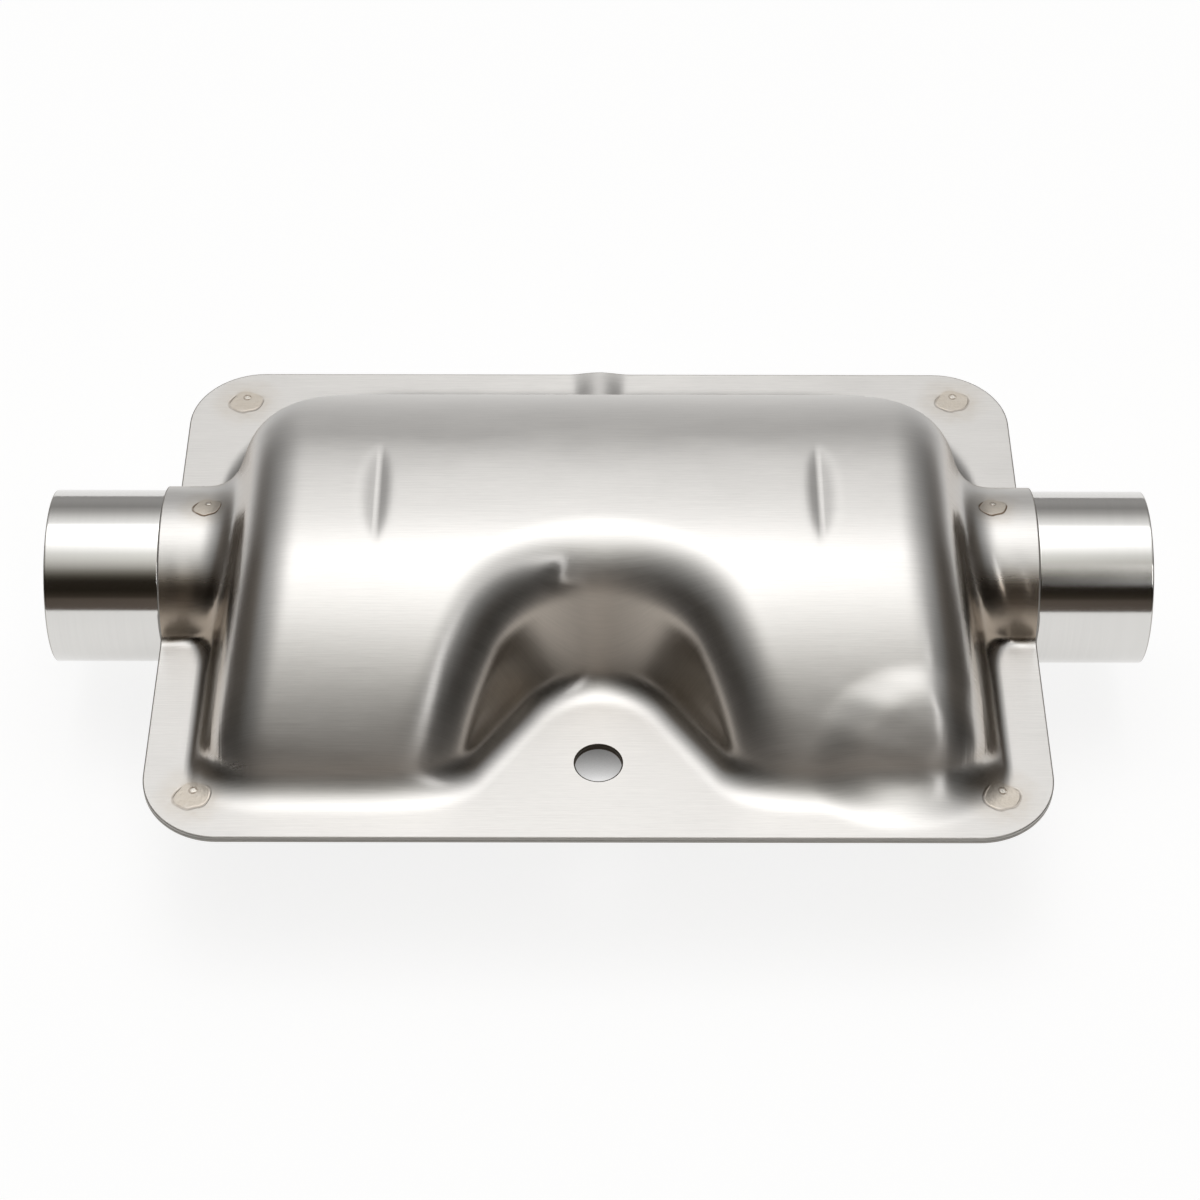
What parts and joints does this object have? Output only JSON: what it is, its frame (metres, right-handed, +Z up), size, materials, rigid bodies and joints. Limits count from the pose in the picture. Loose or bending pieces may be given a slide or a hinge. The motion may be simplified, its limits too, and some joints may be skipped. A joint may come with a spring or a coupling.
{
  "type": "diesel heater muffler",
  "caption": "Small stamped steel exhaust muffler with a straight through tube, flanged half shells and a recessed mounting tab with a hole.",
  "frame": {"origin": "middle of the flange in X and Y, at the flat land along the lower crown", "axes": "+X along the tube, -Y towards the edge with the mounting tab, +Z up"},
  "size_m": [0.1512, 0.0874, 0.0412],
  "materials": {
    "pressed_steel": "satin, fine grain along the tube",
    "polished_tube": "polished, turned marks around the tube",
    "inner_steel": "plain mill finish"
  },
  "bodies": {
    "root": {"upper_shell": "pressed_steel", "lower_shell": "pressed_steel", "perforated_tube": "polished_tube", "baffle_left": "inner_steel", "baffle_right": "inner_steel"}
  },
  "joints": []
}
